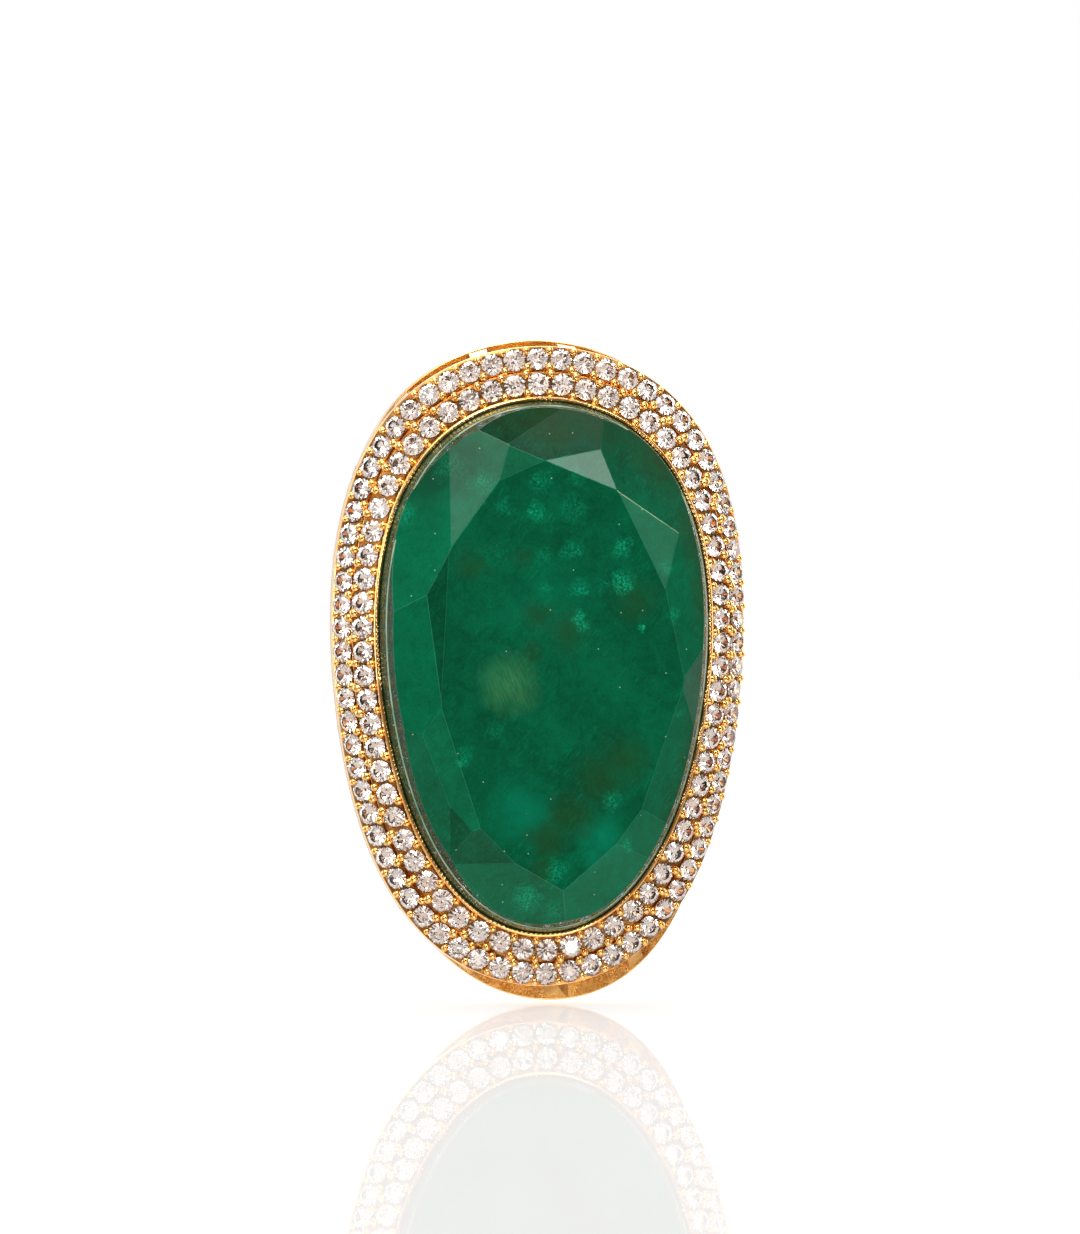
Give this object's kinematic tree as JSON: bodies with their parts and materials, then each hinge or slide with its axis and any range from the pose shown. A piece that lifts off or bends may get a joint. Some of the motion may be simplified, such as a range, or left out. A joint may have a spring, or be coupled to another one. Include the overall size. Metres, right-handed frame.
{
  "type": "cocktail ring",
  "caption": "Cocktail ring with a long, egg-shaped faceted green stone in a bezel, a double halo of bead-set clear stones, an openwork gallery and a plain half-round band.",
  "frame": {"origin": "centre of the finger bore, on its axis at the middle of the band's width", "axes": "+Z along the finger and the head's long axis, towards the stone's fuller end; -Y from the finger out through the middle of the stone's table; +X across the finger, to the right when the head is looked at"},
  "size_m": [0.0238, 0.0283, 0.0375],
  "materials": {
    "green_stone": "gloss",
    "halo_stones": "gloss",
    "gold": "polished",
    "gold_beads": "polished"
  },
  "bodies": {
    "root": {"center_stone": "green_stone", "bezel_collar": "gold", "bezel_seat": "gold", "inner_halo_strip": "gold", "outer_halo_strip": "gold", "gallery_top_rail": "gold", "gallery_base_rail": "gold", "upper_bridge": "gold", "lower_bridge": "gold", "shank": "gold", "left_shoulder": "gold", "right_shoulder": "gold", "inner_halo_stones": "halo_stones", "outer_halo_stones": "halo_stones", "inner_row_beads": "gold_beads", "outer_row_beads": "gold_beads", "gallery_post_1": "gold", "gallery_post_2": "gold", "gallery_post_3": "gold", "gallery_post_4": "gold", "gallery_post_5": "gold", "gallery_post_6": "gold", "gallery_post_7": "gold", "gallery_post_8": "gold", "gallery_post_9": "gold", "gallery_post_10": "gold", "gallery_post_11": "gold", "gallery_post_12": "gold", "gallery_post_13": "gold", "gallery_post_14": "gold", "gallery_post_15": "gold", "gallery_post_16": "gold", "gallery_post_17": "gold", "gallery_post_18": "gold", "gallery_post_19": "gold"}
  },
  "joints": []
}
